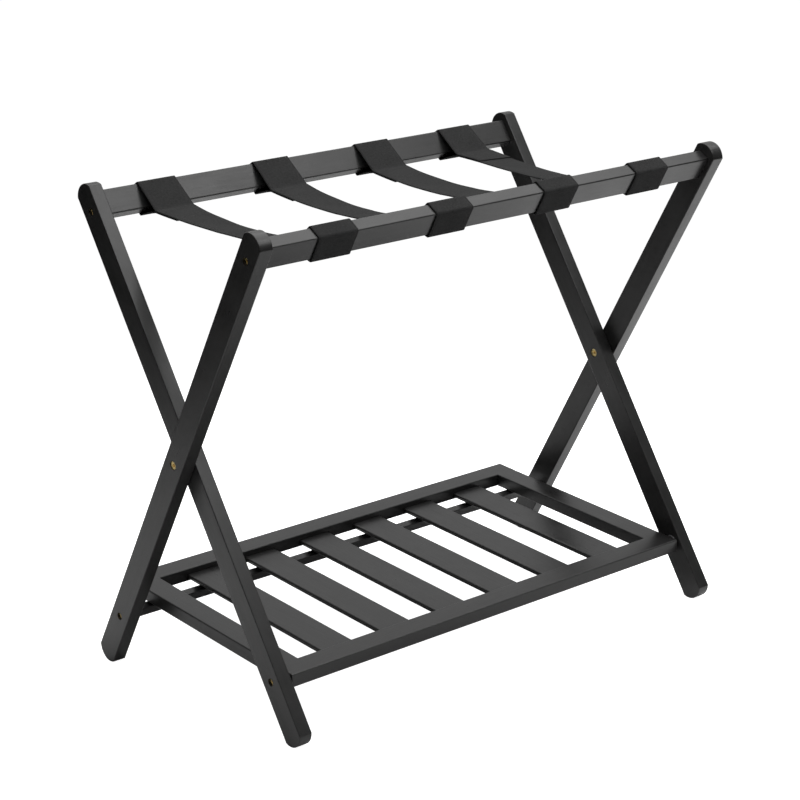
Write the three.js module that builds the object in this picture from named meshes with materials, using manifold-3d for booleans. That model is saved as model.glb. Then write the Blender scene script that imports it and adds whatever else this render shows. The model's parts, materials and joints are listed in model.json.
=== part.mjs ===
// Folding luggage rack: two leg frames that cross like an X, four webbing straps and a slatted shelf.
// Millimetres. X runs along the rails, +Y is the rear and +Z is up. The legs stand on Z = 0.
import * as THREE from "three";
import { mergeVertices } from "three/addons/utils/BufferGeometryUtils.js";
import Module from "manifold-3d";

const wasm = await Module();
wasm.setup();

// ---- driving dimensions ----
const OVERALL_LENGTH = 664;
const LEAN = THREE.MathUtils.degToRad(32.3); // each frame leans this far from upright when the rack is open
const TOP_REACH = 333.2; // along a leg, pivot to the tip of its top end
const FOOT_REACH = 331.8; // along a leg, pivot to the tip of its foot
const LEG_WIDTH = 31;
const LEG_THICKNESS = 16.5;
const END_RADIUS = 18.4; // round of a leg's ends
const LEG_GAP = 1.0; // between the outer and the inner leg of a side
const EDGE_SOFTENING = 1.0; // bevel along the edges of the sawn faces
const CORNER_ROUND = 1.6; // round of the bars' long edges
const JOINT_GAP = 0.3; // between pieces that touch
const RUNNING_GAP = 0.1; // round a pin that turns

const RAIL_HEIGHT = 30; // along the legs
const RAIL_DEPTH = 16.5; // across the legs
const RAIL_REACH = 306.2; // pivot to the middle of a top rail
const RAIL_SCREW_REACH = 300;
const STRETCHER_HEIGHT = 15;
const STRETCHER_DEPTH = 9;
const LOWER_REACH = 257; // pivot to the stretcher, and to the pins that the shelf turns on

const SHELF_SIDE_GAP = 2.7; // between the shelf and the inner legs
const SHELF_DEPTH = 333;
const SHELF_PIN_SETBACK = 12.7; // pins behind the shelf's front edge
const SHELF_BAR_WIDTH = 30;
const SHELF_BAR_HEIGHT = 16;
const SLAT_COUNT = 6;
const SLAT_WIDTH = 44.6;
const SLAT_PITCH = 82.9;
const SLAT_SHIFT = 3.3; // the row of slats is this far to the right of the middle
const SLAT_THICKNESS = 5.8;
const SLAT_DROP = 7.3; // top of a slat below the top of the bars
const SLAT_TENON = 8; // length of a slat that is housed in a bar
const SLAT_ROUND = 2.2;

const STRAP_WIDTH = 50.8;
const STRAP_THICKNESS = 1.6;
const STRAP_STANDOFF = 16.5; // flat stretch between a loop and the crease where the span starts to sag
const STRAP_SAG = 10; // middle of a strap below the creases at its ends
const STRAP_LAP = 42; // each end is doubled this far beyond its crease
const STRAP_LOOP_DROP = 5; // how far a loop bulges below its rail
const STRAP_PLACES = [
  { name: "strap_1", front: -228.2, rear: -224.8 },
  { name: "strap_2", front: -72.8, rear: -66.5 },
  { name: "strap_3", front: 81.4, rear: 83.8 },
  { name: "strap_4", front: 222.5, rear: 215.2 },
];

const SCREW_HEAD_HEIGHT = 4;
const BAR_SCREW_HEAD = { radius: 4.2, recess: 3.2 }; // recess: top of the head below the face of the leg
const PIVOT_BOLT_HEAD = { radius: 4.9, recess: 1.2 };
const SCREW_SHANK_RADIUS = 3;
const SCREW_GRIP = 26; // length of a screw in the end of a bar
const SOCKET_RADIUS = 2.4; // corners of the hexagonal socket
const SOCKET_DEPTH = 2.5;
const BARREL_RADIUS = 4.6;
const BARREL_FLANGE_RADIUS = 5.2;
const BARREL_FLANGE_HEIGHT = 1.6;
const BARREL_RECESS = 1.5; // flange below the inner leg's inside face
const BARREL_END = 4.5; // solid end of a barrel nut, which its socket is in
const WASHER_RADIUS = 9;
const WASHER_THICKNESS = 0.5;

const ROUND_SEGMENTS = 40;
const CORNER_SEGMENTS = 3;
const SPAN_SEGMENTS = 12;
const LAYER_SEGMENTS = 8;
const MERGE_DISTANCE = 1e-4;

// ---- worked out from them ----
const OUTER_FACE = OVERALL_LENGTH / 2; // outer face of the outer legs
const OUTER_INSIDE = OUTER_FACE - LEG_THICKNESS;
const INNER_FACE = OUTER_INSIDE - LEG_GAP; // outer face of the inner legs
const INNER_INSIDE = INNER_FACE - LEG_THICKNESS;
const PIVOT_HEIGHT = (FOOT_REACH - END_RADIUS) * Math.cos(LEAN) + END_RADIUS;
const SHELF_HALF = INNER_INSIDE - SHELF_SIDE_GAP;
const SHELF_REAR = SHELF_DEPTH - SHELF_PIN_SETBACK; // from the pins that the shelf turns on
const FRONT_BAR_MIDDLE = SHELF_BAR_WIDTH / 2 - SHELF_PIN_SETBACK;
const SCREW_BORE_RADIUS = SCREW_SHANK_RADIUS + JOINT_GAP;

// ---- materials ----
const paint = () => new THREE.MeshStandardMaterial({ color: 0x1b1b1c, roughness: 0.45, metalness: 0 });
const webbing = () => new THREE.MeshStandardMaterial({ color: 0x141415, roughness: 0.95, metalness: 0 });
const brass = () => new THREE.MeshStandardMaterial({ color: 0xb98a3c, roughness: 0.35, metalness: 1 });
const steel = () => new THREE.MeshStandardMaterial({ color: 0x9a9c9f, roughness: 0.4, metalness: 1 });

// ---- solids ----
function toManifold(geometry) {
  const bare = geometry.clone();
  bare.deleteAttribute("normal");
  bare.deleteAttribute("uv");
  const merged = mergeVertices(bare, MERGE_DISTANCE);
  return new wasm.Manifold(
    new wasm.Mesh({
      numProp: 3,
      vertProperties: new Float32Array(merged.getAttribute("position").array),
      triVerts: new Uint32Array(merged.getIndex().array),
    }),
  );
}

function toGeometry(manifold) {
  const mesh = manifold.getMesh();
  const geometry = new THREE.BufferGeometry();
  geometry.setAttribute("position", new THREE.BufferAttribute(new Float32Array(mesh.vertProperties), 3));
  geometry.setIndex(new THREE.BufferAttribute(new Uint32Array(mesh.triVerts), 1));
  geometry.computeVertexNormals();
  return geometry;
}

// A shape drawn in (y, z), extruded along X from x0 to x1, its long edges softened by `soft`.
function alongX(shape, x0, x1, soft = 0) {
  const geometry = new THREE.ExtrudeGeometry(shape, {
    depth: x1 - x0 - 2 * soft,
    bevelEnabled: soft > 0,
    bevelThickness: soft,
    bevelSize: soft,
    bevelOffset: -soft,
    bevelSegments: 2,
    curveSegments: CORNER_SEGMENTS,
  });
  const axes = [new THREE.Vector3(0, 1, 0), new THREE.Vector3(0, 0, 1), new THREE.Vector3(1, 0, 0)];
  geometry.applyMatrix4(new THREE.Matrix4().makeBasis(...axes));
  return geometry.translate(x0 + soft, 0, 0);
}

function roundedRectangle(width, height, radius, y = 0, z = 0) {
  const shape = new THREE.Shape();
  const right = y + width / 2 - radius;
  const left = y - width / 2 + radius;
  const top = z + height / 2 - radius;
  const bottom = z - height / 2 + radius;
  shape.absarc(right, top, radius, 0, Math.PI / 2);
  shape.absarc(left, top, radius, Math.PI / 2, Math.PI);
  shape.absarc(left, bottom, radius, Math.PI, 1.5 * Math.PI);
  shape.absarc(right, bottom, radius, 1.5 * Math.PI, 2 * Math.PI);
  return shape;
}

// A cylinder or a prism with its axis along X.
function rod(radius, x0, x1, y = 0, z = 0, sides = ROUND_SEGMENTS) {
  const geometry = new THREE.CylinderGeometry(radius, radius, x1 - x0, sides);
  return geometry.rotateZ(Math.PI / 2).translate((x0 + x1) / 2, y, z);
}

function cut(geometry, tools) {
  return toGeometry(tools.reduce((solid, tool) => solid.subtract(toManifold(tool)), toManifold(geometry)));
}

function join(geometries) {
  return geometries.map(toManifold).reduce((solid, other) => solid.add(other));
}

function mesh(name, geometry, material) {
  const made = new THREE.Mesh(geometry, material);
  made.name = name;
  return made;
}

// A piece drawn for the +X side is turned round for the -X side by mirroring its X values.
function onSide(geometry, side) {
  if (side > 0) return geometry;
  const mirrored = toManifold(geometry).mirror([1, 0, 0]);
  return toGeometry(mirrored);
}

const SIDES = [
  { word: "left", sign: -1 },
  { word: "right", sign: 1 },
];

// ---- legs ----
function legShape() {
  const half = LEG_WIDTH / 2;
  const swing = Math.asin(half / END_RADIUS);
  const shape = new THREE.Shape();
  const upper = TOP_REACH - END_RADIUS;
  const lower = -FOOT_REACH + END_RADIUS;
  shape.absarc(0, upper, END_RADIUS, Math.PI / 2 - swing, Math.PI / 2 + swing);
  shape.absarc(0, lower, END_RADIUS, 1.5 * Math.PI - swing, 1.5 * Math.PI + swing);
  return shape;
}

function legBlank(inside, outside) {
  const shape = legShape();
  const fine = shape.extractPoints(CORNER_SEGMENTS * 4).shape;
  return alongX(new THREE.Shape(fine), inside, outside, EDGE_SOFTENING);
}

// A stepped hole for a screw whose head sits in the outer face of a leg.
function screwHole(inside, outside, z, head, bore = SCREW_BORE_RADIUS) {
  const seat = outside - head.recess - SCREW_HEAD_HEIGHT - JOINT_GAP;
  return [rod(bore, inside - 1, outside + 1, 0, z), rod(head.radius + JOINT_GAP, seat, outside + 1, 0, z)];
}

function outerLeg() {
  return cut(legBlank(OUTER_INSIDE, OUTER_FACE), [
    ...screwHole(OUTER_INSIDE, OUTER_FACE, RAIL_SCREW_REACH, BAR_SCREW_HEAD),
    ...screwHole(OUTER_INSIDE, OUTER_FACE, 0, PIVOT_BOLT_HEAD),
    ...screwHole(OUTER_INSIDE, OUTER_FACE, -LOWER_REACH, BAR_SCREW_HEAD),
  ]);
}

function innerLeg() {
  const blank = legBlank(INNER_INSIDE, INNER_FACE);
  const flangeDepth = BARREL_RECESS + BARREL_FLANGE_HEIGHT + JOINT_GAP;
  return cut(blank, [
    ...screwHole(INNER_INSIDE, INNER_FACE, RAIL_SCREW_REACH, BAR_SCREW_HEAD),
    ...screwHole(INNER_INSIDE, INNER_FACE, -LOWER_REACH, BAR_SCREW_HEAD, SCREW_SHANK_RADIUS + RUNNING_GAP),
    rod(BARREL_RADIUS + RUNNING_GAP, INNER_INSIDE - 1, INNER_FACE + 1),
    rod(BARREL_FLANGE_RADIUS + RUNNING_GAP, INNER_INSIDE - 1, INNER_INSIDE + flangeDepth),
  ]);
}

// ---- screws, nuts and washers ----
function socketScrew(face, tip, z, head = BAR_SCREW_HEAD) {
  const top = face - head.recess;
  const seat = top - SCREW_HEAD_HEIGHT;
  const solid = join([
    rod(head.radius, seat, top, 0, z),
    rod(SCREW_SHANK_RADIUS, tip, seat + 1, 0, z),
  ]);
  const socket = rod(SOCKET_RADIUS, top - SOCKET_DEPTH, top + 1, 0, z, 6);
  return toGeometry(solid.subtract(toManifold(socket)));
}

function barrelNut() {
  const tip = INNER_FACE - JOINT_GAP;
  const flangeBottom = INNER_INSIDE + BARREL_RECESS;
  const flangeTop = flangeBottom + BARREL_FLANGE_HEIGHT;
  const solid = join([
    rod(BARREL_RADIUS, flangeBottom, tip),
    rod(BARREL_FLANGE_RADIUS, flangeBottom, flangeTop),
  ]);
  const bore = rod(SCREW_SHANK_RADIUS + JOINT_GAP, flangeBottom + BARREL_END, tip + 1);
  const socket = rod(SOCKET_RADIUS, flangeBottom - 1, flangeBottom + SOCKET_DEPTH, 0, 0, 6);
  return toGeometry(solid.subtract(toManifold(bore)).subtract(toManifold(socket)));
}

function washer(x0, x1, radius, bore, z = 0) {
  return cut(rod(radius, x0, x1, 0, z), [rod(bore, x0 - 1, x1 + 1, 0, z)]);
}

// ---- bars ----
// A bar that runs between two legs, bored in both ends for its screws.
function screwedBar(shape, half, boreZ) {
  const reach = SCREW_GRIP + 1;
  return cut(alongX(shape, -half, half, 0), [
    rod(SCREW_BORE_RADIUS, half - reach, half + 1, 0, boreZ),
    rod(SCREW_BORE_RADIUS, -half - 1, -half + reach, 0, boreZ),
  ]);
}

function topRail(half) {
  const shape = roundedRectangle(RAIL_DEPTH, RAIL_HEIGHT, CORNER_ROUND, 0, RAIL_REACH);
  return screwedBar(shape, half, RAIL_SCREW_REACH);
}

function rearStretcher(half) {
  const shape = roundedRectangle(STRETCHER_DEPTH, STRETCHER_HEIGHT, CORNER_ROUND, 0, -LOWER_REACH);
  return screwedBar(shape, half, -LOWER_REACH);
}

// ---- shelf, drawn level with the pins at its origin ----
function slatPlaces() {
  return Array.from({ length: SLAT_COUNT }, (_, i) => SLAT_SHIFT + (i - (SLAT_COUNT - 1) / 2) * SLAT_PITCH);
}

const SLAT_TOP = SHELF_BAR_HEIGHT / 2 - SLAT_DROP;
const SLAT_MIDDLE = SLAT_TOP - SLAT_THICKNESS / 2;

// Both long bars hold the ends of the slats in shallow grooves.
function longShelfBar(middle, grooveSide) {
  const shape = roundedRectangle(SHELF_BAR_WIDTH, SHELF_BAR_HEIGHT, CORNER_ROUND, middle, 0);
  const face = middle + (grooveSide * SHELF_BAR_WIDTH) / 2;
  const depth = SLAT_TENON + JOINT_GAP;
  const size = [SLAT_WIDTH + 2 * JOINT_GAP, 2 * depth, SLAT_THICKNESS + 2 * JOINT_GAP];
  const grooves = slatPlaces().map((x) => new THREE.BoxGeometry(...size).translate(x, face, SLAT_MIDDLE));
  return cut(alongX(shape, -SHELF_HALF, SHELF_HALF, EDGE_SOFTENING), grooves);
}

function shelfFrontBar() {
  const reach = SCREW_GRIP + 1;
  return cut(longShelfBar(FRONT_BAR_MIDDLE, 1), [
    rod(SCREW_BORE_RADIUS, SHELF_HALF - reach, SHELF_HALF + 1),
    rod(SCREW_BORE_RADIUS, -SHELF_HALF - 1, -SHELF_HALF + reach),
  ]);
}

function shelfSideBar() {
  const y0 = SHELF_BAR_WIDTH - SHELF_PIN_SETBACK + JOINT_GAP;
  const y1 = SHELF_REAR - SHELF_BAR_WIDTH - JOINT_GAP;
  const bar = alongX(roundedRectangle(SHELF_BAR_WIDTH, SHELF_BAR_HEIGHT, CORNER_ROUND), y0, y1);
  return bar.rotateZ(Math.PI / 2).translate(SHELF_HALF - SHELF_BAR_WIDTH / 2, 0, 0);
}

function slat(x) {
  const y0 = SHELF_BAR_WIDTH - SHELF_PIN_SETBACK - SLAT_TENON;
  const y1 = SHELF_REAR - SHELF_BAR_WIDTH + SLAT_TENON;
  const board = alongX(roundedRectangle(SLAT_WIDTH, SLAT_THICKNESS, SLAT_ROUND), y0, y1);
  return board.rotateZ(Math.PI / 2).translate(x, 0, SLAT_MIDDLE);
}

// ---- straps ----
// Outline round the front rail, `grow` outside it and its gap. The rear loops are the same, turned round.
function ringPoints(grow) {
  const half = RAIL_DEPTH / 2 + JOINT_GAP + grow;
  const top = RAIL_REACH + RAIL_HEIGHT / 2 + JOINT_GAP + grow;
  const bottom = RAIL_REACH - RAIL_HEIGHT / 2 - JOINT_GAP;
  const corner = CORNER_ROUND + grow;
  const bulge = bottom - STRAP_LOOP_DROP - grow;
  const shape = new THREE.Shape();
  shape.absarc(half - corner, top - corner, corner, 0, Math.PI / 2);
  shape.absarc(corner - half, top - corner, corner, Math.PI / 2, Math.PI);
  shape.lineTo(-half, bottom);
  shape.quadraticCurveTo(-half, bulge, -half / 3, bulge);
  shape.lineTo(half, bottom - grow);
  return shape.extractPoints(2 * CORNER_SEGMENTS).shape;
}

// A piece drawn for the outer frame, made for the rail at `side`: +1 is the front one, -1 the rear one.
function facingInward(geometry, side) {
  return side > 0 ? geometry : geometry.rotateZ(Math.PI);
}

// One end of a strap, wrapped round its rail. It sags a little below the rail.
function strapLoop(x, side) {
  const section = new THREE.Shape(ringPoints(STRAP_THICKNESS));
  section.holes.push(new THREE.Path(ringPoints(0)));
  const loop = alongX(section, -STRAP_WIDTH / 2, STRAP_WIDTH / 2);
  return facingInward(loop, side).translate(x, 0, 0);
}

// Where a front loop turns into the span, from the origin. The rear one is its mirror image.
function loopCorner() {
  const across = RAIL_DEPTH / 2 + JOINT_GAP + STRAP_THICKNESS;
  const along = RAIL_REACH - RAIL_HEIGHT / 2 - JOINT_GAP - STRAP_THICKNESS;
  return {
    y: across * Math.cos(LEAN) - along * Math.sin(LEAN),
    z: PIVOT_HEIGHT + across * Math.sin(LEAN) + along * Math.cos(LEAN),
  };
}

// The front half of a span: a flat stretch up to its crease, then a parabola down to the middle.
// It is two layers thick as far as the end of the lap.
function spanSection() {
  const corner = loopCorner();
  const start = corner.y + JOINT_GAP;
  const fold = start + STRAP_STANDOFF;
  const lapEnd = fold + STRAP_LAP;
  const end = -JOINT_GAP / 2;
  const height = (y) => corner.z - (y < fold ? 0 : STRAP_SAG * (1 - (y / fold) ** 2));
  const stations = (from, to, count) => Array.from({ length: count + 1 }, (_, i) => from + ((to - from) * i) / count);
  const layer = (places, lift) => places.map((y) => new THREE.Vector2(y, height(y) + lift));
  const lap = layer([start, ...stations(fold, lapEnd, LAYER_SEGMENTS)], -2 * STRAP_THICKNESS);
  const lower = layer(stations(lapEnd, end, LAYER_SEGMENTS), -STRAP_THICKNESS);
  const upper = layer([...stations(end, fold, SPAN_SEGMENTS), start], 0);
  return new THREE.Shape([...lap, ...lower, ...upper]);
}

// A strap whose ends are at different places along the rails runs askew between them.
function spanHalf(place, side) {
  const middle = (place.front + place.rear) / 2;
  const skew = (place.rear - place.front) / 2 / -loopCorner().y;
  const band = alongX(spanSection(), -STRAP_WIDTH / 2, STRAP_WIDTH / 2);
  band.applyMatrix4(new THREE.Matrix4().makeShear(0, 0, skew, 0, 0, 0));
  return facingInward(band, side).translate(middle, 0, 0);
}

// ---- bodies ----
function outerFrame() {
  const frame = new THREE.Group();
  frame.name = "outer_frame";
  frame.position.z = PIVOT_HEIGHT;
  frame.rotation.x = LEAN;
  const half = OUTER_INSIDE - JOINT_GAP;
  const screwTip = OUTER_INSIDE - SCREW_GRIP;
  const leg = outerLeg();
  const railScrew = socketScrew(OUTER_FACE, screwTip, RAIL_SCREW_REACH);
  const stretcherScrew = socketScrew(OUTER_FACE, screwTip, -LOWER_REACH);
  const boltTip = INNER_INSIDE + BARREL_RECESS + BARREL_END + JOINT_GAP;
  const pivotBolt = socketScrew(OUTER_FACE, boltTip, 0, PIVOT_BOLT_HEAD);
  const nut = barrelNut();
  const washerOutside = OUTER_INSIDE - (LEG_GAP - WASHER_THICKNESS) / 2;
  const legWasher = washer(washerOutside - WASHER_THICKNESS, washerOutside, WASHER_RADIUS, SCREW_BORE_RADIUS);
  for (const { word, sign } of SIDES) {
    frame.add(mesh(`outer_leg_${word}`, onSide(leg, sign), paint()));
    frame.add(mesh(`front_rail_screw_${word}`, onSide(railScrew, sign), brass()));
    frame.add(mesh(`stretcher_screw_${word}`, onSide(stretcherScrew, sign), brass()));
    frame.add(mesh(`pivot_bolt_${word}`, onSide(pivotBolt, sign), brass()));
    frame.add(mesh(`pivot_nut_${word}`, onSide(nut, sign), brass()));
    frame.add(mesh(`pivot_washer_${word}`, onSide(legWasher, sign), steel()));
  }
  frame.add(mesh("front_top_rail", topRail(half), paint()));
  frame.add(mesh("rear_stretcher", rearStretcher(half), paint()));
  for (const place of STRAP_PLACES) {
    frame.add(mesh(`${place.name}_front_loop`, strapLoop(place.front, 1), webbing()));
  }
  return frame;
}

function innerFrame() {
  const frame = new THREE.Group();
  frame.name = "inner_frame";
  frame.position.z = PIVOT_HEIGHT;
  frame.rotation.x = -LEAN;
  const leg = innerLeg();
  const railScrew = socketScrew(INNER_FACE, INNER_INSIDE - SCREW_GRIP, RAIL_SCREW_REACH);
  const spacerInside = SHELF_HALF + JOINT_GAP;
  const spacer = washer(spacerInside, INNER_INSIDE - JOINT_GAP, WASHER_RADIUS, SCREW_BORE_RADIUS, -LOWER_REACH);
  for (const { word, sign } of SIDES) {
    frame.add(mesh(`inner_leg_${word}`, onSide(leg, sign), paint()));
    frame.add(mesh(`rear_rail_screw_${word}`, onSide(railScrew, sign), brass()));
    frame.add(mesh(`shelf_spacer_${word}`, onSide(spacer, sign), steel()));
  }
  frame.add(mesh("rear_top_rail", topRail(INNER_INSIDE - JOINT_GAP), paint()));
  for (const place of STRAP_PLACES) {
    frame.add(mesh(`${place.name}_rear_loop`, strapLoop(place.rear, -1), webbing()));
  }
  return frame;
}

// The shelf leans back on the top rear edge of the stretcher, so its rear is a little higher than its front.
function shelfTilt() {
  const pinHeight = PIVOT_HEIGHT - LOWER_REACH * Math.cos(LEAN);
  const edgeReach = LOWER_REACH - STRETCHER_HEIGHT / 2;
  const edgeY = (STRETCHER_DEPTH / 2) * Math.cos(LEAN) + edgeReach * Math.sin(LEAN);
  const edgeZ = PIVOT_HEIGHT + (STRETCHER_DEPTH / 2) * Math.sin(LEAN) - edgeReach * Math.cos(LEAN);
  const run = edgeY + LOWER_REACH * Math.sin(LEAN);
  const rise = edgeZ - pinHeight;
  const underside = SHELF_BAR_HEIGHT / 2 + JOINT_GAP;
  return Math.atan2(rise, run) + Math.asin(underside / Math.hypot(run, rise));
}

function shelf() {
  const group = new THREE.Group();
  group.name = "shelf_frame";
  group.position.set(0, -LOWER_REACH * Math.sin(LEAN), PIVOT_HEIGHT - LOWER_REACH * Math.cos(LEAN));
  group.rotation.x = shelfTilt();
  const screw = socketScrew(INNER_FACE, SHELF_HALF - SCREW_GRIP, 0);
  const sideBar = shelfSideBar();
  for (const { word, sign } of SIDES) {
    group.add(mesh(`shelf_screw_${word}`, onSide(screw, sign), brass()));
    group.add(mesh(`shelf_side_bar_${word}`, onSide(sideBar, sign), paint()));
  }
  group.add(mesh("shelf_front_bar", shelfFrontBar(), paint()));
  group.add(mesh("shelf_rear_bar", longShelfBar(SHELF_REAR - SHELF_BAR_WIDTH / 2, -1), paint()));
  slatPlaces().forEach((x, i) => group.add(mesh(`slat_${i + 1}`, slat(x), paint())));
  return group;
}

function strapSpans() {
  const group = new THREE.Group();
  group.name = "strap_spans";
  for (const place of STRAP_PLACES) {
    group.add(mesh(`${place.name}_front_span`, spanHalf(place, 1), webbing()));
    group.add(mesh(`${place.name}_rear_span`, spanHalf(place, -1), webbing()));
  }
  return group;
}

function luggageRack() {
  const rack = new THREE.Group();
  rack.name = "luggage_rack";
  rack.add(outerFrame(), innerFrame(), shelf(), strapSpans());
  return rack;
}

export default luggageRack();
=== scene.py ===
import json
import math
from itertools import accumulate

import bmesh
import bpy
from mathutils import Matrix, Quaternion, Vector


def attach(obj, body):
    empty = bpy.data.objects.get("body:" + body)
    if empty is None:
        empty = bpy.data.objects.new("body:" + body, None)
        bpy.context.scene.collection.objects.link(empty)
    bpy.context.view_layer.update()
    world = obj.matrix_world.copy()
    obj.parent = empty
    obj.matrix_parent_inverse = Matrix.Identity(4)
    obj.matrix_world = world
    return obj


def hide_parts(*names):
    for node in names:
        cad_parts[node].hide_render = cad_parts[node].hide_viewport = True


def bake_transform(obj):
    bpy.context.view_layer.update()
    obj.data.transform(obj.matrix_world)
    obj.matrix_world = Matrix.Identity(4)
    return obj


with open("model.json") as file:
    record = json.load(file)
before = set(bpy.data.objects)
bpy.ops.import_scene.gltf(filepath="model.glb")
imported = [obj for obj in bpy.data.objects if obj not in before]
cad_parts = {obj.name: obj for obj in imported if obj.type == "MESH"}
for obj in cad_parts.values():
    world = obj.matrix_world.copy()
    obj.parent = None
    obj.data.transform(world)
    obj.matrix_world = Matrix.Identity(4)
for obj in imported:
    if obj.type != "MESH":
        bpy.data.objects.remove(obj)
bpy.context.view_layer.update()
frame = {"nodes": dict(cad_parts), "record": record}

BEHAVIOUR = frame["record"]["behaviour"]
JOINTS = {joint["name"]: joint for joint in BEHAVIOUR["joints"]}
BODY_OF = {name: body for body, names in BEHAVIOUR["bodies"].items() for name in names}

# ---- dimensions of the frames, in metres ----
LEAN = math.radians(32.3)  # of the legs from upright, when the rack is open
SHELF_TILT = math.radians(3.557)
PIVOT_HEIGHT = JOINTS["fold"]["pos_m"][2]
RAIL_REACH = 0.3062  # from the pivot to the middle of a rail, along the legs
RAIL_HALF_HEIGHT = 0.015
RAIL_HALF_DEPTH = 0.00825

# ---- dimensions of the straps, in metres ----
STRAP_WIDTH = 0.0508
STRAP_THICKNESS = 0.0015
STRAP_LAYER = 0.0016  # depth that each layer takes up where two lie together
LAP = 0.042
CREASE_Y = 0.1292  # how far out the span ends and the loop begins
CREASE_Z = JOINTS["front_straps_flex"]["pos_m"][2]
HINGE_Y = 0.146  # how far out the strap's two hinges lie, between which it may run askew

# Each strap's place at the front and at the rear rail, its sag, how much more of the sag lies towards
# the front, and how far its left edge rides up at mid-span.
STRAPS = {
    "strap_1": {"front": -0.2282, "rear": -0.2248, "sag": 0.0078, "skew": 0.0, "twist": 0.0031},
    "strap_2": {"front": -0.0728, "rear": -0.0665, "sag": 0.0110, "skew": 0.0, "twist": 0.0022},
    "strap_3": {"front": 0.0814, "rear": 0.0838, "sag": 0.0103, "skew": 0.0, "twist": 0.0003},
    "strap_4": {"front": 0.2225, "rear": 0.2152, "sag": 0.0108, "skew": 0.5, "twist": 0.0022},
}
# Each end of a strap: its side along Y, its name and the body that its loop rides on.
ENDS = ((-1, "front", "outer_frame"), (1, "rear", "inner_frame"))
LAP_ON_TOP = ("strap_4", 1)  # the one end whose lap lies above the span


# ---- node helpers ----
def node(tree, kind, inputs=None, **settings):
    """A shader node. An input is either a value or the socket that feeds it."""
    made = tree.nodes.new(kind)
    for key, value in settings.items():
        setattr(made, key, value)
    feed(tree, made, inputs or {})
    return made


def feed(tree, made, inputs):
    for key, value in inputs.items():
        if isinstance(value, bpy.types.NodeSocket):
            tree.links.new(value, made.inputs[key])
        else:
            made.inputs[key].default_value = value


def math_node(tree, operation, first, second=0.0):
    return node(tree, "ShaderNodeMath", {0: first, 1: second}, operation=operation).outputs[0]


def vector_math(tree, operation, first, second):
    return node(tree, "ShaderNodeVectorMath", {0: first, 1: second}, operation=operation).outputs["Value"]


def map_range(tree, value, source, target=(0.0, 1.0), ends="LINEAR"):
    """The value taken from one range to another. With ends="SMOOTHSTEP" it starts and stops softly."""
    inputs = {0: value, 1: source[0], 2: source[1], 3: target[0], 4: target[1]}
    return node(tree, "ShaderNodeMapRange", inputs, interpolation_type=ends).outputs[0]


def mix_colour(tree, factor, first, second):
    made = node(tree, "ShaderNodeMix", {0: factor, 6: first, 7: second}, data_type="RGBA")
    return made.outputs[2]


def noise(tree, place, scale, detail, roughness=0.55, distortion=0.0):
    inputs = {
        "Vector": place,
        "Scale": scale,
        "Detail": detail,
        "Roughness": roughness,
        "Distortion": distortion,
    }
    return node(tree, "ShaderNodeTexNoise", inputs).outputs[0]


def bump(tree, height, distance, strength, below=None):
    """Relief from `height`, `distance` metres deep, on top of the relief `below`."""
    inputs = {"Height": height, "Distance": distance, "Strength": strength}
    if below is not None:
        inputs["Normal"] = below
    return node(tree, "ShaderNodeBump", inputs).outputs[0]


def coordinates(tree, kind):
    return node(tree, "ShaderNodeTexCoord").outputs[kind]


def camera_ray(tree):
    return node(tree, "ShaderNodeLightPath").outputs["Is Camera Ray"]


def grey(value, warmth=0.0):
    """A grey, or with some warmth a little redder and less blue."""
    return (value * (1 + warmth), value, value * (1 - warmth), 1.0)


def new_material(name):
    made = bpy.data.materials.new(name)
    made.use_nodes = True
    return made, made.node_tree, made.node_tree.nodes["Principled BSDF"]


NOISE_RANGE = (0.3, 0.7)  # nearly all of a noise's values lie in it


# ---- painted wood ----
STREAK_SIZE = (0.16, 0.006, 0.006)  # along the grain and across it, in metres
STREAK_COLOURS = (grey(0.0105), grey(0.0155, 0.02))
PATCH_COLOUR = grey(0.0185, 0.01)
WORN_COLOUR = grey(0.060, 0.08)
WORN_SHARE = 0.55
WORN_ROUGHENING = 0.12
PAINT_ROUGHNESS = (0.29, 0.37)
STREAK_ROUGHENING = (-0.03, 0.04)
PAINT_IOR = 1.5
EDGE_RADIUS = 0.0011  # how far from an edge the paint wears, in metres
EDGE_COSINES = (0.985, 0.80)  # cosines of an edge's rounding at which wear starts and is full
WEAR_SPOTS = (0.46, 0.66)


def stretched_along(tree, place, grain):
    """Coordinates drawn out along the direction `grain`."""
    turn = Vector(grain).normalized().to_track_quat("X", "Z").to_euler()
    inputs = {"Vector": place, "Rotation": turn, "Scale": STREAK_SIZE}
    return node(tree, "ShaderNodeMapping", inputs, vector_type="TEXTURE").outputs[0]


def edge_wear(tree, place):
    """1 at spots along the edges where the paint is worn, and 0 elsewhere."""
    rounded = node(tree, "ShaderNodeBevel", {"Radius": EDGE_RADIUS}, samples=6).outputs[0]
    flat = node(tree, "ShaderNodeNewGeometry").outputs["True Normal"]
    edge = map_range(tree, vector_math(tree, "DOT_PRODUCT", rounded, flat), EDGE_COSINES)
    spots = map_range(tree, noise(tree, place, scale=240.0, detail=5.0, roughness=0.7), WEAR_SPOTS)
    return math_node(tree, "MULTIPLY", edge, spots)


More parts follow.
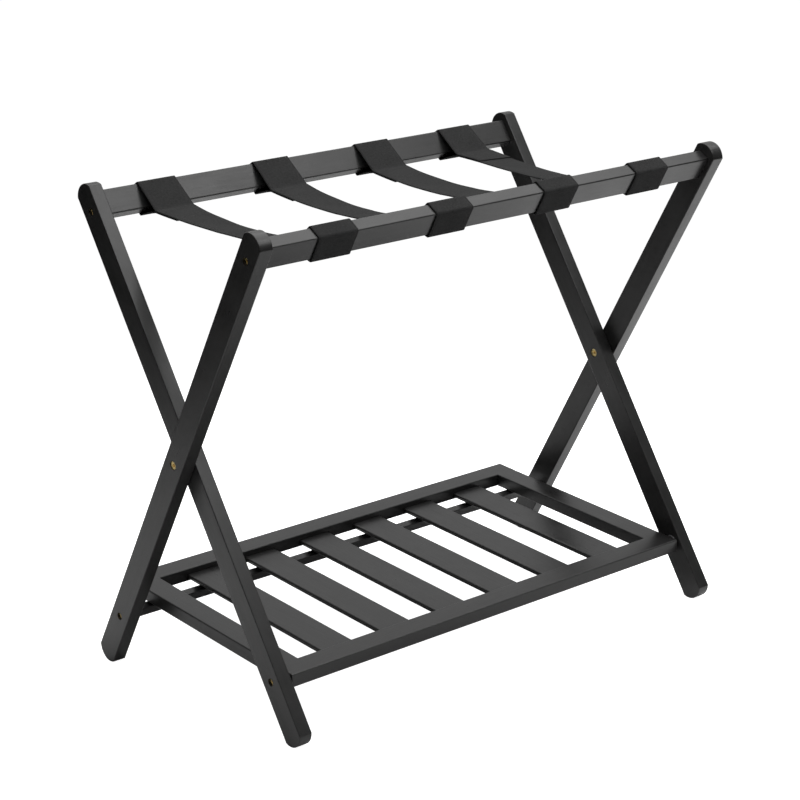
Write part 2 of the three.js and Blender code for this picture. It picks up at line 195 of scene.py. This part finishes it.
def painted_wood(name, grain):
    """Satin black paint over wood whose grain runs along the direction `grain`."""
    made, tree, shader = new_material(name)
    place = coordinates(tree, "Object")
    stretched = stretched_along(tree, place, grain)
    streaks = noise(tree, stretched, scale=1.0, detail=5.0, roughness=0.6, distortion=0.4)
    fine_streaks = noise(tree, stretched, scale=5.0, detail=3.0, roughness=0.65)
    patches = noise(tree, place, scale=28.0, detail=3.0)
    orange_peel = noise(tree, place, scale=950.0, detail=2.0, roughness=0.5)
    wear = edge_wear(tree, place)

    colour = mix_colour(tree, map_range(tree, streaks, NOISE_RANGE), *STREAK_COLOURS)
    colour = mix_colour(tree, map_range(tree, patches, (0.35, 0.7), (0.0, 0.5)), colour, PATCH_COLOUR)
    colour = mix_colour(tree, math_node(tree, "MULTIPLY", wear, WORN_SHARE), colour, WORN_COLOUR)
    rough = map_range(tree, patches, NOISE_RANGE, PAINT_ROUGHNESS)
    rough = math_node(tree, "ADD", rough, map_range(tree, fine_streaks, NOISE_RANGE, STREAK_ROUGHENING))
    rough = math_node(tree, "ADD", rough, math_node(tree, "MULTIPLY", wear, WORN_ROUGHENING))
    relief = bump(tree, fine_streaks, distance=0.00012, strength=0.35)
    relief = bump(tree, streaks, distance=0.00025, strength=0.25, below=relief)
    relief = bump(tree, orange_peel, distance=0.00004, strength=0.5, below=relief)
    feed(tree, shader, {"Base Color": colour, "Roughness": rough, "Normal": relief, "IOR": PAINT_IOR})
    return made


# ---- webbing and thread ----
WARP_PITCH = 0.0016  # in metres across the strap
WEFT_PITCH = 0.0013  # in metres along the strap
WEFT_SLANT = 0.5
SELVEDGE = (0.0026, 0.0018)  # distances from the edge at which its shade starts and is full
YARN_COLOURS = (grey(0.020), grey(0.042))
# Painted shade: the hollows between the yarns are darkened towards this colour.
HOLLOW_SHADE_COLOUR = grey(0.009)
CLOUD_COLOUR = grey(0.044)
SELVEDGE_COLOUR = grey(0.020)
WEBBING_ROUGHNESS = (0.86, 1.0)
WEBBING_SPECULAR = 0.05
WEBBING_SHEEN = 0.035
SHEEN_ROUGHNESS = 0.55
# Painted shade: the first colour lies in the twist's grooves, the second on its ridges.
THREAD_GROOVE_AND_RIDGE_SHADES = (grey(0.012), grey(0.030))
THREAD_ROUGHNESS = (0.55, 0.75)


def woven(tree, across, along):
    """Height of a plain weave, from -1 to 1."""
    warp = math_node(tree, "SINE", math_node(tree, "MULTIPLY", across, math.tau / WARP_PITCH))
    slanted = math_node(tree, "ADD", along, math_node(tree, "MULTIPLY", across, WEFT_SLANT))
    weft = math_node(tree, "SINE", math_node(tree, "MULTIPLY", slanted, math.tau / WEFT_PITCH))
    return math_node(tree, "MULTIPLY", warp, weft)


def webbing():
    """Matt woven webbing. U runs across the strap and V along it, in metres."""
    made, tree, shader = new_material("webbing")
    uv = coordinates(tree, "UV")
    split = node(tree, "ShaderNodeSeparateXYZ", {0: uv})
    across, along = split.outputs[0], split.outputs[1]
    weave = woven(tree, across, along)
    fuzz = noise(tree, uv, scale=1500.0, detail=4.0, roughness=0.7)
    mottle = noise(tree, uv, scale=420.0, detail=4.0, roughness=0.7)
    clouds = noise(tree, uv, scale=30.0, detail=3.0)
    from_middle = math_node(tree, "ABSOLUTE", math_node(tree, "SUBTRACT", across, STRAP_WIDTH / 2))
    selvedge = map_range(tree, from_middle, [STRAP_WIDTH / 2 - inset for inset in SELVEDGE], (0.0, 0.5))

    colour = mix_colour(tree, map_range(tree, mottle, NOISE_RANGE), *YARN_COLOURS)
    # Painted shade: darker where the weave is low, in the hollows between yarns.
    colour = mix_colour(tree, map_range(tree, weave, (-1.0, 1.0), (0.35, 0.0)), colour, HOLLOW_SHADE_COLOUR)
    colour = mix_colour(tree, map_range(tree, clouds, (0.35, 0.65), (0.0, 0.25)), colour, CLOUD_COLOUR)
    colour = mix_colour(tree, selvedge, colour, SELVEDGE_COLOUR)
    rough = map_range(tree, fuzz, NOISE_RANGE, WEBBING_ROUGHNESS)
    relief = bump(tree, weave, distance=0.00010, strength=0.7)
    relief = bump(tree, fuzz, distance=0.00012, strength=0.6, below=relief)
    relief = bump(tree, clouds, distance=0.0006, strength=0.25, below=relief)
    feed(tree, shader, {"Base Color": colour, "Roughness": rough, "Normal": relief})
    feed(tree, shader, {"Specular IOR Level": WEBBING_SPECULAR})
    feed(tree, shader, {"Sheen Weight": WEBBING_SHEEN, "Sheen Roughness": SHEEN_ROUGHNESS})
    return made


def thread():
    """Twisted sewing thread."""
    made, tree, shader = new_material("thread")
    place = coordinates(tree, "Object")
    twist = node(tree, "ShaderNodeTexWave", {"Vector": place, "Scale": 900.0, "Distortion": 1.0}).outputs[1]
    lint = noise(tree, place, scale=2600.0, detail=3.0)
    # Painted shade: darker in the twist's grooves, where the relief is low.
    colour = mix_colour(tree, twist, *THREAD_GROOVE_AND_RIDGE_SHADES)
    rough = map_range(tree, lint, NOISE_RANGE, THREAD_ROUGHNESS)
    relief = bump(tree, twist, distance=0.0001, strength=0.5)
    feed(tree, shader, {"Base Color": colour, "Roughness": rough, "Normal": relief})
    return made


# ---- metals ----
DULL_PATCHES = (0.42, 0.68)
DULL_ROUGHENING = 0.18


def metal(name, bright, dull, roughness, metallic):
    """Turned metal with tool marks and dull, fingered patches."""
    made, tree, shader = new_material(name)
    place = coordinates(tree, "Object")
    patches = noise(tree, place, scale=420.0, detail=5.0, roughness=0.65)
    marks = noise(tree, place, scale=3200.0, detail=2.0)
    colour = mix_colour(tree, map_range(tree, patches, DULL_PATCHES), bright, dull)
    rough = map_range(tree, patches, NOISE_RANGE, (roughness, roughness + DULL_ROUGHENING))
    relief = bump(tree, marks, distance=0.00003, strength=0.6)
    feed(tree, shader, {"Base Color": colour, "Roughness": rough, "Metallic": metallic, "Normal": relief})
    return made


GRAIN = {
    "outer_leg": (0, -math.sin(LEAN), math.cos(LEAN)),
    "inner_leg": (0, math.sin(LEAN), math.cos(LEAN)),
    "along_rails": (1, 0, 0),
    "along_shelf": (0, math.cos(SHELF_TILT), math.sin(SHELF_TILT)),
}
PAINTS = {name: painted_wood(f"paint_{name}", grain) for name, grain in GRAIN.items()}
WEBBING = webbing()
THREAD = thread()
BRASS = metal("brass", (1.0, 0.80, 0.34, 1), (0.85, 0.60, 0.22, 1), roughness=0.28, metallic=0.30)
STEEL = metal("steel", (0.24, 0.24, 0.25, 1), (0.13, 0.13, 0.13, 1), roughness=0.45, metallic=0.9)


def material_of(name):
    """The material of a wood or metal piece, and the record's slot for it."""
    for leg in ("outer_leg", "inner_leg"):
        if name.startswith(leg):
            return PAINTS[leg], "black_paint"
    if name.startswith(("slat", "shelf_side_bar")):
        return PAINTS["along_shelf"], "black_paint"
    if "washer" in name or "spacer" in name:
        return STEEL, "steel_washer"
    if "screw" in name or "bolt" in name or "nut" in name:
        return BRASS, "brass_screw"
    return PAINTS["along_rails"], "black_paint"


# ---- wood and metal pieces ----
SHARP = math.radians(52)  # an edge that turns less than this is shaded smooth
FLAT = math.radians(0.4)  # faces that turn less than this are joined
WELD = 2e-6  # points nearer than this are joined
JOINT_FILL = 0.0019


def shade_smooth(shape):
    """Smooth shading, except over sharp edges."""
    for face in shape.faces:
        face.smooth = True
    for edge in shape.edges:
        edge.smooth = edge.is_manifold and edge.calc_face_angle() < SHARP


def add_object(name, data):
    made = bpy.data.objects.new(name, data)
    bpy.context.scene.collection.objects.link(made)
    return made


def mesh_of(name, shape, material):
    """A mesh made from `shape`, which is freed."""
    mesh = bpy.data.meshes.new(name)
    shape.to_mesh(mesh)
    shape.free()
    mesh.materials.append(material)
    return mesh


def fill_joints(shape):
    """Lengthens a side bar into the rounded edges of the bars at its ends, as sanded filler does."""
    middle = sum(vert.co.y for vert in shape.verts) / len(shape.verts)
    run = Vector((0, math.cos(SHELF_TILT), math.sin(SHELF_TILT)))
    for vert in shape.verts:
        vert.co += run * math.copysign(JOINT_FILL, vert.co.y - middle)


def finish_piece(name):
    """Stands in for a CAD node, with its facets joined up so that its rounded edges shade as rounds."""
    shape = bmesh.new()
    shape.from_mesh(frame["nodes"][name].data)
    bmesh.ops.remove_doubles(shape, verts=shape.verts, dist=WELD)
    if name.startswith("shelf_side_bar"):
        fill_joints(shape)
    bmesh.ops.dissolve_limit(shape, angle_limit=FLAT, verts=shape.verts, edges=shape.edges)
    shade_smooth(shape)
    material, slot = material_of(name)
    piece = add_object(f"{name}_finished", mesh_of(name, shape, material))
    normals = piece.modifiers.new("normals", "WEIGHTED_NORMAL")
    normals.keep_sharp = True
    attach(piece, BODY_OF[name])
    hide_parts(name)


# ---- path of a strap, as (y, z) points of its front half ----
LOOP_CLEARANCE = 0.0002  # between the rail and the webbing
UPPER_RADIUS = 0.0024  # of the webbing's bends over the rail's two upper corners
LOWER_RADIUS = 0.0022  # of its bend at the lower outer corner
LOWER_OUT = 0.0003  # how much further it stands off that corner outward
LOWER_DOWN = 0.0008  # and downward
TUCK_RADIUS = 0.006  # of its bend beneath the rail, where it turns back up
TUCK_ACROSS = 0.001
TUCK_DROP = 0.0042
CREASE_RADIUS = 0.008
PATH_STEP = 0.004
ARC_STEP = math.radians(12)


def at_rail(across, along):
    """A point beside the front rail: `across` its frame inward, and `along` the legs from the pivot."""
    y = across * math.cos(LEAN) - along * math.sin(LEAN)
    z = PIVOT_HEIGHT + across * math.sin(LEAN) + along * math.cos(LEAN)
    return Vector((y, z))


def span_height(y, sag, skew):
    """Top of the span's webbing."""
    place = y / CREASE_Y
    return CREASE_Z - sag * max(0.0, 1 - place ** 2) * (1 - skew * place)


def span_line(first, last, sag, skew, depth):
    """Points of the span from y = `first` to `last`, at `depth` below its top."""
    count = max(2, round(abs(last - first) / PATH_STEP))
    places = [first + (last - first) * i / count for i in range(count + 1)]
    return [Vector((y, span_height(y, sag, skew) - depth)) for y in places]


def arc(before, corner, after, radius):
    """Points of an arc that rounds off a corner."""
    back, ahead = (before - corner).normalized(), (after - corner).normalized()
    half = back.angle(ahead) / 2
    reach = radius / math.tan(half)
    centre = corner + (back + ahead).normalized() * (radius / math.sin(half))
    start, end = corner + back * reach - centre, corner + ahead * reach - centre
    steps = max(3, int((math.pi - 2 * half) / ARC_STEP))
    return [centre + start.lerp(end, i / steps).normalized() * radius for i in range(steps + 1)]


def rounded_path(corners):
    """A path through (point, radius) corners, with an arc at each one but the first and last."""
    path = [corners[0][0]]
    for (before, _), (corner, radius), (after, _) in zip(corners, corners[1:], corners[2:]):
        path += arc(before, corner, after, radius)
    return path + [corners[-1][0]]


def evened(path):
    """The path with its long stretches divided up."""
    result = [path[0]]
    for first, second in zip(path, path[1:]):
        count = max(1, math.ceil((second - first).length / PATH_STEP))
        result += [first.lerp(second, i / count) for i in range(1, count + 1)]
    return result


def round_rail():
    """Corners of the webbing's way round the front rail, from its inner upper corner to below it."""
    clear = LOOP_CLEARANCE + STRAP_LAYER / 2
    top = RAIL_REACH + RAIL_HALF_HEIGHT + clear
    bottom = RAIL_REACH - RAIL_HALF_HEIGHT
    side = RAIL_HALF_DEPTH + clear
    return [
        (at_rail(side, top), UPPER_RADIUS),
        (at_rail(-side, top), UPPER_RADIUS),
        (at_rail(-side - LOWER_OUT, bottom - clear - LOWER_DOWN), LOWER_RADIUS),
        (at_rail(TUCK_ACROSS, bottom - TUCK_DROP), TUCK_RADIUS),
    ]


def strap_path(sag, skew, lap_on_top):
    """Middle of the webbing's thickness, from the end of its lap, round the rail, to mid-span."""
    span_depth = STRAP_LAYER / 2
    lap_depth = span_depth - STRAP_LAYER if lap_on_top else span_depth + STRAP_LAYER
    near_crease = -CREASE_Y + CREASE_RADIUS
    lap = span_line(-CREASE_Y + LAP, near_crease, sag, skew, lap_depth)
    span = span_line(near_crease, 0, sag, skew, span_depth)
    corners = [
        (lap[-1], 0),
        (Vector((-CREASE_Y, CREASE_Z - lap_depth)), CREASE_RADIUS),
        *(round_rail() if lap_on_top else reversed(round_rail())),
        (Vector((-CREASE_Y, CREASE_Z - span_depth)), CREASE_RADIUS),
        (span[0], 0),
    ]
    return evened(lap[:-1] + rounded_path(corners) + span[1:])


# ---- straps ----
SELVEDGE_RADIUS = 0.0006
SELVEDGE_STEPS = 6
COLUMNS = 8
RIPPLE = 0.00035  # how far the edges wander from a straight line
RIPPLE_RATE = 95  # radians per metre of webbing
RIPPLE_PHASE = 40  # radians per metre along the rails, so that no two straps wander alike
LEFT_RIPPLE = -0.6  # the left edge's share of it, the other way


def strap_section():
    """Outline of the webbing's cross-section, as (across, up), with rounded selvedges."""
    half, rise = STRAP_WIDTH / 2, STRAP_THICKNESS / 2
    top = [(-half + STRAP_WIDTH * i / COLUMNS, rise) for i in range(1, COLUMNS)]
    turns = [math.pi * i / SELVEDGE_STEPS for i in range(SELVEDGE_STEPS + 1)]
    right = [(half - SELVEDGE_RADIUS + SELVEDGE_RADIUS * math.sin(a), rise * math.cos(a)) for a in turns]
    bottom = [(-x, -y) for x, y in top]
    left = [(-x, -y) for x, y in right]
    return top + right + bottom + left


def strap_middle(facts, y):
    """Where the middle of the strap's width lies along the rails, at `y`."""
    front, rear = facts["front"], facts["rear"]
    slope = (rear - front) / 2 / HINGE_Y
    return (front + rear) / 2 + slope * max(-HINGE_Y, min(HINGE_Y, y))


def twist_lift(facts, y, across):
    """How far the strap's twist raises it: nothing at the creases, and the most at mid-span."""
    inner = min(1.0, max(0.0, 1 - abs(y) / CREASE_Y))
    ease = inner * (2 - inner)
    return -facts["twist"] * ease * across / (STRAP_WIDTH / 2)


def strap_rings(shape, facts, side, path, lengths):
    """The cross-section's vertices at each point of the path, which is mirrored for a rear half."""
    rings = []
    for i, point in enumerate(path):
        ahead = (path[min(i + 1, len(path) - 1)] - path[max(i - 1, 0)]).normalized()
        up = Vector((ahead.y, -ahead.x))
        y = -side * point.x
        ripple = RIPPLE * math.sin(lengths[i] * RIPPLE_RATE + facts["front"] * RIPPLE_PHASE + side)
        ring = []
        for across, rise in strap_section():
            x = strap_middle(facts, y) + across + ripple * (1 if across > 0 else LEFT_RIPPLE)
            offset = point + up * rise
            ring.append(shape.verts.new((x, -side * offset.x, offset.y + twist_lift(facts, y, across))))
        rings.append(ring)
    return rings


def add_skin(shape, rings, lengths):
    """Faces between the rings and over the two ends, with UVs in metres."""
    uv_layer = shape.loops.layers.uv.new("along_strap")
    section = strap_section()
    count = len(section)
    for i in range(len(rings) - 1):
        for j in range(count):
            k = (j + 1) % count
            face = shape.faces.new((rings[i][j], rings[i][k], rings[i + 1][k], rings[i + 1][j]))
            for loop, (column, row) in zip(face.loops, ((j, i), (k, i), (k, i + 1), (j, i + 1))):
                loop[uv_layer].uv = (section[column][0] + STRAP_WIDTH / 2, lengths[row])
    for ring in (rings[0], rings[-1]):
        face = shape.faces.new(ring)
        for loop, (across, rise) in zip(face.loops, section):
            loop[uv_layer].uv = (across + STRAP_WIDTH / 2, rise)
    bmesh.ops.recalc_face_normals(shape, faces=shape.faces)


def strap_half(name, side, end_word):
    """Half of a strap with the loop round its rail, and the length of its webbing."""
    facts = STRAPS[name]
    path = strap_path(facts["sag"], -side * facts["skew"], (name, side) == LAP_ON_TOP)
    stretches = [(second - first).length for first, second in zip(path, path[1:])]
    lengths = list(accumulate(stretches, initial=0.0))
    shape = bmesh.new()
    add_skin(shape, strap_rings(shape, facts, side, path, lengths), lengths)
    shade_smooth(shape)
    piece = add_object(f"{name}_{end_word}_webbing", mesh_of(f"{name}_mesh", shape, WEBBING))
    return piece, lengths[-1]


# ---- stitches ----
STITCH_ROWS = (0.006, LAP - 0.004)  # how far from the crease
STITCHES_IN_ROW = 11
STITCH_PITCH = 0.0042
STITCH_HALF_SIZE = (0.0015, 0.00030, 0.00018)


def stitches(name, side, end_word):
    """Two rows of stitches that hold a strap's lap."""
    facts = STRAPS[name]
    rise = STRAP_LAYER if (name, side) == LAP_ON_TOP else 0.0
    size = Matrix.Diagonal((*STITCH_HALF_SIZE, 1))
    shape = bmesh.new()
    for from_crease in STITCH_ROWS:
        y = (CREASE_Y - from_crease) * side
        z = span_height(y, facts["sag"], facts["skew"]) + rise
        for i in range(STITCHES_IN_ROW):
            across = (i - STITCHES_IN_ROW // 2) * STITCH_PITCH
            spot = (strap_middle(facts, y) + across, y, z + twist_lift(facts, y, across))
            place = Matrix.Translation(spot) @ size
            bmesh.ops.create_uvsphere(shape, u_segments=8, v_segments=6, radius=1, matrix=place)
    for face in shape.faces:
        face.smooth = True
    piece = add_object(f"{name}_{end_word}_stitches", mesh_of(f"{name}_stitches_mesh", shape, THREAD))
    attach(piece, f"straps_{end_word}")
    return piece


def make_strap(name):
    for side, end_word, body in ENDS:
        piece, length = strap_half(name, side, end_word)
        sewing = stitches(name, side, end_word)
        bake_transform(piece)
        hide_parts(f"{name}_{end_word}_loop", f"{name}_{end_word}_span")


for node_name in frame["nodes"]:
    if not node_name.startswith("strap_"):
        finish_piece(node_name)
for strap_name in STRAPS:
    make_strap(strap_name)


# ---- floor ----
WHITE = (1, 1, 1, 1)
FLOOR_RADIUS = 8
FLOOR_ROUGHNESS = 0.9
FLOOR_SPECULAR = 0.1
FLOOR_PALE = 0.90
FLOOR_MOTTLE = 0.03
# Painted falloff of light: away from its lit middle the floor's colour turns to this dark, standing in for
# the studio light fading with distance.
PAINTED_UNLIT_FLOOR = 0.03
FLOOR_GLOW = 1.0  # as the camera sees it, which keeps the floor plain white
LIT_CENTRE = (-0.1, -0.1, 0.0)
LIT_RADIUS = (0.85, 1.75)  # the floor's colour is pale within the first and dark beyond the second, a painted falloff of the light
# Painted shade: the floor's colour is darkened beneath the rack, standing in for the rack's shadow as its
# surfaces reflect the floor.
PAINTED_SHADE_CENTRE = (-0.10, 0.03, 0.0)
PAINTED_SHADE_RADIUS = (0.16, 0.38)
PAINTED_SHADE_LEVEL = 0.36  # how much of the pale is left in the middle of the painted shade beneath the rack
# Painted light: a pool of light glows from the floor to the right of the rack. Every ray but the camera's
# sees it and is lit by it.
PAINTED_POOL_CENTRE = (0.85, -0.15, 0.0)
PAINTED_POOL_RADIUS = (0.15, 0.65)
PAINTED_POOL_GLOW = 0.68  # strength of the painted pool of light that glows from the floor, as surfaces reflect it


def faded(tree, place, centre, radius, target):
    """Goes softly from target[0] within radius[0] of the centre to target[1] beyond radius[1]."""
    return map_range(tree, vector_math(tree, "DISTANCE", place, centre), radius, target, ends="SMOOTHSTEP")


def floor():
    """A plain white floor, as the camera sees it. What surfaces reflect of it is dark beneath the rack and
    bright on its right: painted shade beneath the rack, a painted falloff of light away from its lit middle,
    and a painted pool of light on its right.
    """
    made, tree, shader = new_material("floor")
    place = coordinates(tree, "Object")
    # Painted falloff of light: pale in the lit middle, dark further out.
    lit = faded(tree, place, LIT_CENTRE, LIT_RADIUS, (1.0, 0.0))
    # Painted shade beneath the rack.
    painted_shade = faded(tree, place, PAINTED_SHADE_CENTRE, PAINTED_SHADE_RADIUS, (PAINTED_SHADE_LEVEL, 1.0))
    painted_light_pool = faded(tree, place, PAINTED_POOL_CENTRE, PAINTED_POOL_RADIUS, (PAINTED_POOL_GLOW, 0.0))
    mottle = noise(tree, place, scale=3.0, detail=4.0)
    pale = mix_colour(tree, mottle, grey(FLOOR_PALE), grey(FLOOR_PALE + FLOOR_MOTTLE))
    colour = mix_colour(tree, math_node(tree, "MULTIPLY", lit, painted_shade), grey(PAINTED_UNLIT_FLOOR), pale)
    # The camera sees an even white glow. Every other ray sees the painted pool of light.
    glow_and_pool_inputs = {0: camera_ray(tree), 2: painted_light_pool, 3: FLOOR_GLOW}
    camera_glow_and_painted_pool = node(tree, "ShaderNodeMix", glow_and_pool_inputs, data_type="FLOAT").outputs[0]
    feed(tree, shader, {"Base Color": colour, "Roughness": FLOOR_ROUGHNESS})
    feed(tree, shader, {"Specular IOR Level": FLOOR_SPECULAR})
    feed(tree, shader, {"Emission Color": WHITE, "Emission Strength": camera_glow_and_painted_pool})
    shape = bmesh.new()
    bmesh.ops.create_circle(shape, cap_ends=True, segments=96, radius=FLOOR_RADIUS)
    add_object("floor", mesh_of("floor", shape, made))


# ---- light ----
BACKDROP_STRENGTH = 1.05  # as the camera sees it
# The room's light in reflections: the range of the direction's X over which its strength rises, and from
# what to what, and the same for Y. The two strengths are multiplied.
SIDEWAYS, SIDEWAYS_STRENGTH = (-0.5, 0.5), (0.12, 1.0)
REARWARD, REARWARD_STRENGTH = (-0.3, 0.5), (0.12, 0.66)


def studio_world():
    """White behind the object, and for reflections a room that is brighter on the right and at the rear."""
    world = bpy.data.worlds.new("studio")
    world.use_nodes = True
    tree = world.node_tree
    tree.nodes.clear()
    direction = node(tree, "ShaderNodeSeparateXYZ", {0: coordinates(tree, "Generated")})
    sideways = map_range(tree, direction.outputs[0], SIDEWAYS, SIDEWAYS_STRENGTH)
    rearward = map_range(tree, direction.outputs[1], REARWARD, REARWARD_STRENGTH)
    strength = math_node(tree, "MULTIPLY", sideways, rearward)
    room = node(tree, "ShaderNodeBackground", {"Color": WHITE, "Strength": strength}).outputs[0]
    backdrop = node(tree, "ShaderNodeBackground", {"Color": WHITE, "Strength": BACKDROP_STRENGTH}).outputs[0]
    mixed = node(tree, "ShaderNodeMixShader", {0: camera_ray(tree), 1: room, 2: backdrop}).outputs[0]
    node(tree, "ShaderNodeOutputWorld", {"Surface": mixed})
    bpy.context.scene.world = world


def area_light(name, place, target, size, power, turn=0.0):
    """A panel of light at `place` that faces `target`, turned in its own plane by `turn` degrees."""
    data = bpy.data.lights.new(name, "AREA")
    data.shape = "RECTANGLE"
    data.size, data.size_y = size
    data.energy = power
    lamp = add_object(name, data)
    lamp.location = place
    aim = (Vector(target) - Vector(place)).to_track_quat("-Z", "Y")
    lamp.rotation_euler = (aim @ Quaternion((0, 0, 1), math.radians(turn))).to_euler()


# ---- camera ----
CAMERA_PLACE = (-1.5664, -1.9635, 1.0484)
CAMERA_AZIMUTH = math.radians(-40.326)
CAMERA_ELEVATION = math.radians(-17.937)
CAMERA_ROLL = math.radians(-1.443)
CAMERA_LENS = 100.35
CAMERA_SENSOR = 36.0
CAMERA_SHIFT = (-0.0950, 0.0486)


def camera():
    """Looks at the rack from the front left and a little above."""
    level = math.cos(CAMERA_ELEVATION)
    right = Vector((math.cos(CAMERA_AZIMUTH), math.sin(CAMERA_AZIMUTH), 0))
    forward = Vector((-right.y * level, right.x * level, math.sin(CAMERA_ELEVATION)))
    up = right.cross(forward)
    rolled_right = right * math.cos(CAMERA_ROLL) + up * math.sin(CAMERA_ROLL)
    rolled_up = up * math.cos(CAMERA_ROLL) - right * math.sin(CAMERA_ROLL)
    data = bpy.data.cameras.new("camera")
    data.lens = CAMERA_LENS
    data.sensor_width = CAMERA_SENSOR
    data.shift_x, data.shift_y = CAMERA_SHIFT
    eye = add_object("camera", data)
    turn = Matrix((rolled_right, rolled_up, -forward)).transposed()
    eye.matrix_world = Matrix.Translation(CAMERA_PLACE) @ turn.to_4x4()
    bpy.context.scene.camera = eye


floor()
studio_world()
area_light(
    "overhead", place=(0.22, -0.28, 2.1), target=(0.22, -0.28, 0), size=(3.05, 3.05), power=60, turn=45
)
area_light("key", place=(0.85, -1.25, 1.75), target=(-0.1, 0.05, 0.5), size=(1.0, 0.8), power=6)
camera()
bpy.context.scene.view_settings.view_transform = "Standard"
